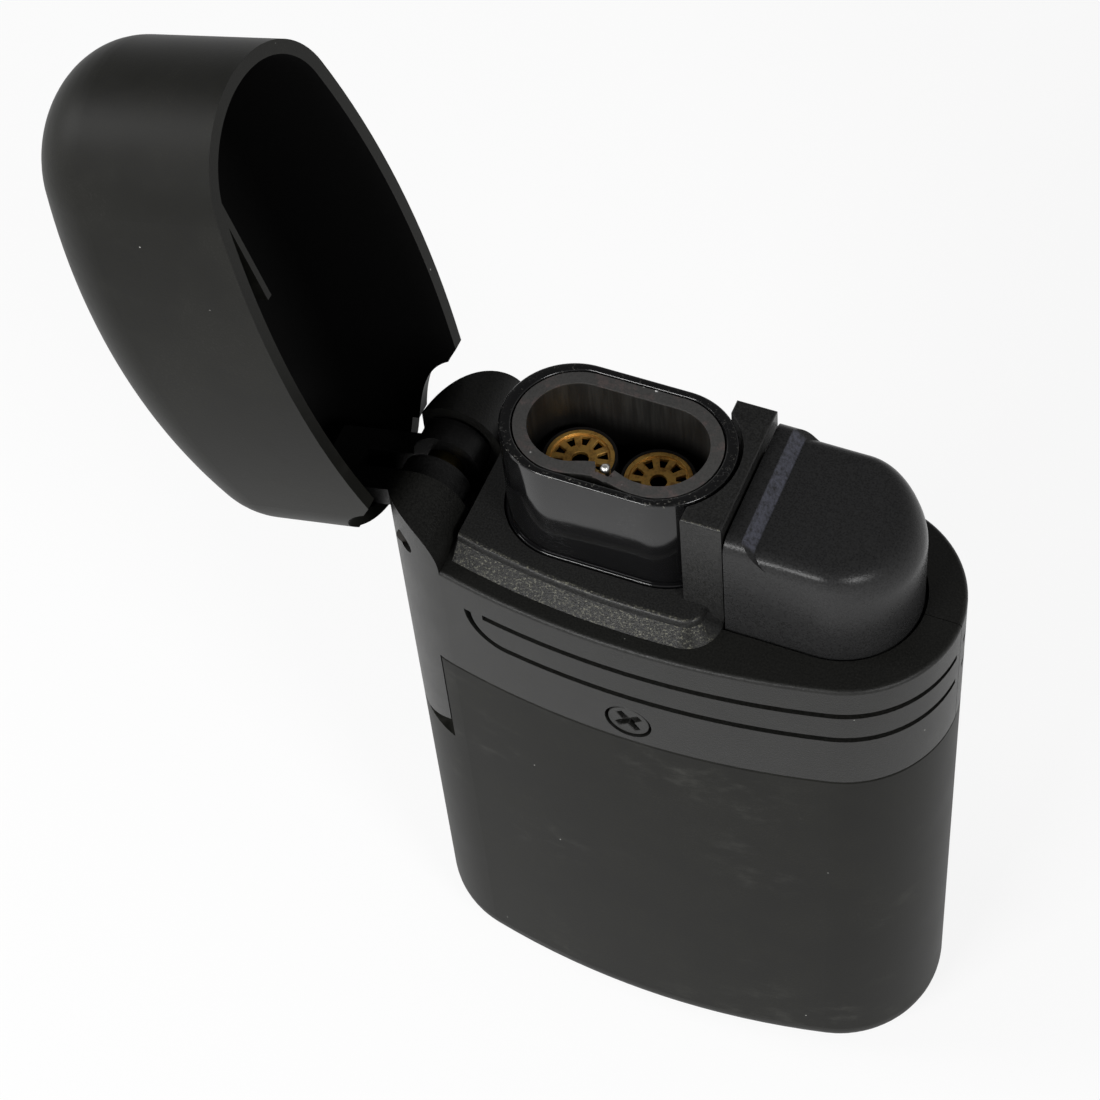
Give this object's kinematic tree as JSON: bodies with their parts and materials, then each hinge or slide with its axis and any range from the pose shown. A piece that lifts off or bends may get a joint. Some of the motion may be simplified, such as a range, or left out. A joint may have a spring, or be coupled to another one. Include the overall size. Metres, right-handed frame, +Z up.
{
  "type": "lighter",
  "caption": "Refillable flip-lid jet lighter with an oval case, two burners under a shroud, a press button, a refill port and a flame adjuster.",
  "frame": {"origin": "centre of the flat face the lighter stands on", "axes": "+X from the hinge end to the button end, -Y the front, +Z up through the burner"},
  "size_m": [0.0665, 0.0206, 0.0938],
  "materials": {
    "shell_soft_black": "soft-touch matte coating",
    "collar_black": "fine-grain matte black",
    "housing_black": "coarser matte black grain",
    "shroud_black": "glossy black",
    "button_black": "satin black, worn at the edges",
    "screw_black": "blackened",
    "gunmetal": "heat-tinted, worn",
    "disc_brass": "dull, sooty in the slots",
    "brass": "machined",
    "bright_steel": "plain",
    "spring_steel": "drawn wire",
    "pin_steel": "browned",
    "insulator_white": "unglazed ceramic",
    "lead_red": "smooth",
    "piezo_black": "moulded",
    "piezo_white": "moulded",
    "chassis_grey": "moulded",
    "tank_clear": "translucent moulded",
    "filter_felt": "porous felt",
    "seal_rubber": "matte"
  },
  "bodies": {
    "case": {"lower_shell": "shell_soft_black", "collar_front": "collar_black", "collar_rear": "collar_black", "collar_screws": "screw_black", "lid_detent_spring": "spring_steel", "hinge_pin": "pin_steel", "burner_housing": "housing_black", "burner_shroud": "shroud_black", "burner_chimney": "gunmetal", "burner_manifold": "brass", "burner_tube_left": "gunmetal", "burner_tube_right": "gunmetal", "flame_disc_left": "disc_brass", "flame_disc_right": "disc_brass", "gas_jet_left": "brass", "gas_jet_right": "brass", "electrode_insulator": "insulator_white", "electrode_wire": "bright_steel", "electrode_lead": "lead_red", "ground_strip": "brass", "piezo_body": "piezo_black", "piezo_spring": "spring_steel", "lever_pin": "pin_steel", "chassis": "chassis_grey", "fuel_tank": "tank_clear", "tank_cover": "tank_clear", "gas_filter": "filter_felt", "gas_valve_body": "brass", "valve_spring": "spring_steel", "stem_seal": "seal_rubber", "gas_hose": "seal_rubber", "adjuster_seal": "seal_rubber", "fill_valve_body": "brass", "fill_valve_gasket": "seal_rubber", "fill_valve_spring": "spring_steel"},
    "lid": {"lid_shell": "shell_soft_black", "lid_knuckle": "collar_black", "hinge_bush": "brass"},
    "igniter_button": {"button": "button_black", "piezo_plunger": "piezo_white"},
    "lever": {"gas_lever": "bright_steel"},
    "main_valve": {"valve_stem": "brass"},
    "refill_valve": {"fill_valve_stem": "bright_steel"},
    "adjuster": {"flame_adjuster": "brass"}
  },
  "joints": [
    {"name": "lid_hinge", "type": "hinge", "parent": "case", "child": "lid", "pos_m": [-0.0186, 0, 0.0553], "axis": [0, 1, 0], "range_deg": [0, 105.6]},
    {"name": "button_press", "type": "slide", "parent": "case", "child": "igniter_button", "axis": [0, 0, -1], "range_m": [0, 0.003], "stiffness_N_per_m": 2000, "springref_m": -0.003, "deforming": ["piezo_spring"]},
    {"name": "lever_pivot", "type": "hinge", "parent": "case", "child": "lever", "pos_m": [-0.0013, 0, 0.0362], "axis": [0, 1, 0], "range_deg": [0, 19.6]},
    {"name": "valve_lift", "type": "slide", "parent": "case", "child": "main_valve", "axis": [0, 0, 1], "range_m": [0, 0.00081], "deforming": ["valve_spring"]},
    {"name": "refill_press", "type": "slide", "parent": "case", "child": "refill_valve", "axis": [0, 0, 1], "range_m": [0, 0.001], "stiffness_N_per_m": 1500, "springref_m": -0.001, "deforming": ["fill_valve_spring"]},
    {"name": "flame_adjust", "type": "hinge", "parent": "case", "child": "adjuster", "pos_m": [-0.00398, 0, 0], "axis": [0, 0, 1], "range_deg": [-135, 135]}
  ],
  "couplings": [
    {"joint": "lever_pivot", "follows": "button_press", "rad_per_m": 113.45},
    {"joint": "valve_lift", "follows": "button_press", "ratio": 0.26667}
  ]
}
